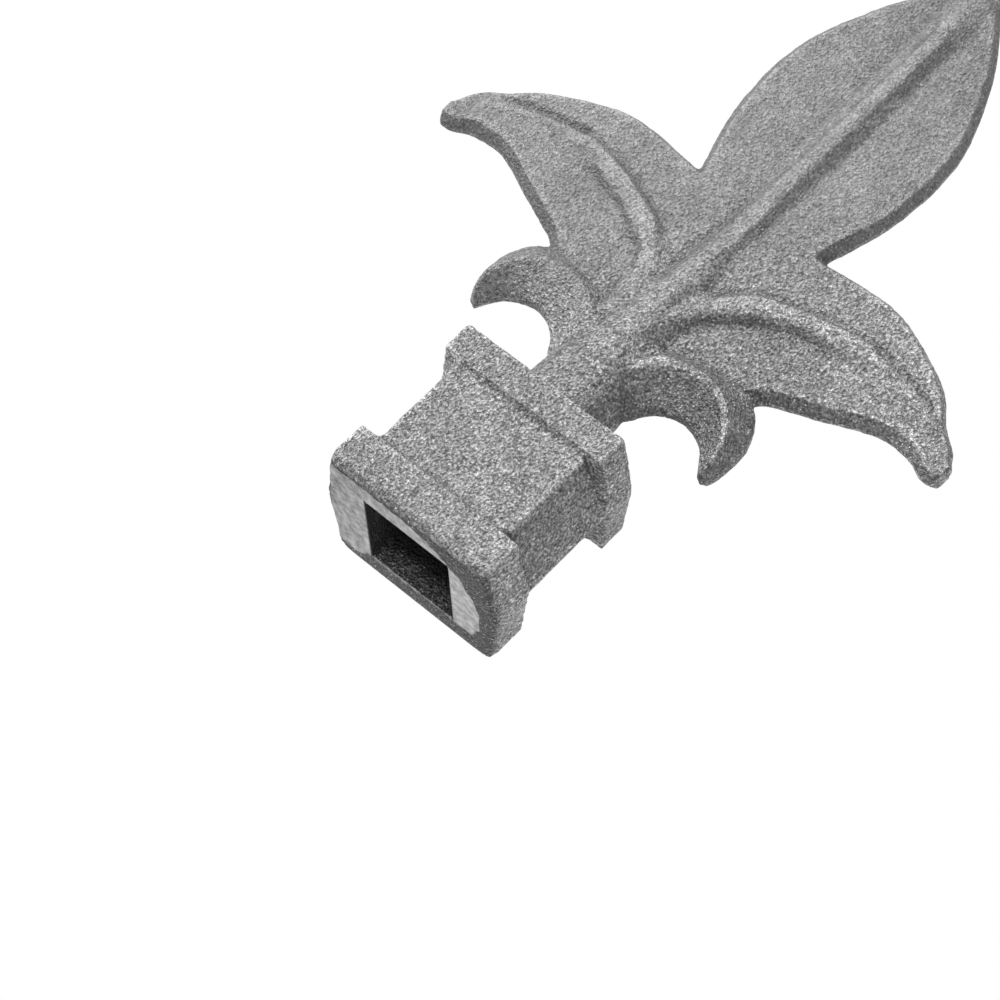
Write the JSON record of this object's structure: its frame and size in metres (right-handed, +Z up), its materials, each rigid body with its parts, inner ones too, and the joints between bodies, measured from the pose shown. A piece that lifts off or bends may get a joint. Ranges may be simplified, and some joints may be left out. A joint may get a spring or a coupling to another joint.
{
  "type": "railing spear finial",
  "caption": "Cast-iron fleur-de-lis spear point with a centre blade, curved side leaves and hooks on a collared square socket for a railing bar.",
  "frame": {"origin": "centre of the ground end face of the socket, at the mouth of the square hole", "axes": "+Z up along the spear, X across the leaves, -Y out of the front face"},
  "size_m": [0.0806, 0.021, 0.11],
  "materials": {
    "cast_iron": "bare shot-blasted casting, matt with fine bright grain; socket end face ground flat"
  },
  "bodies": {
    "root": {"finial_casting": "cast_iron"}
  },
  "joints": []
}
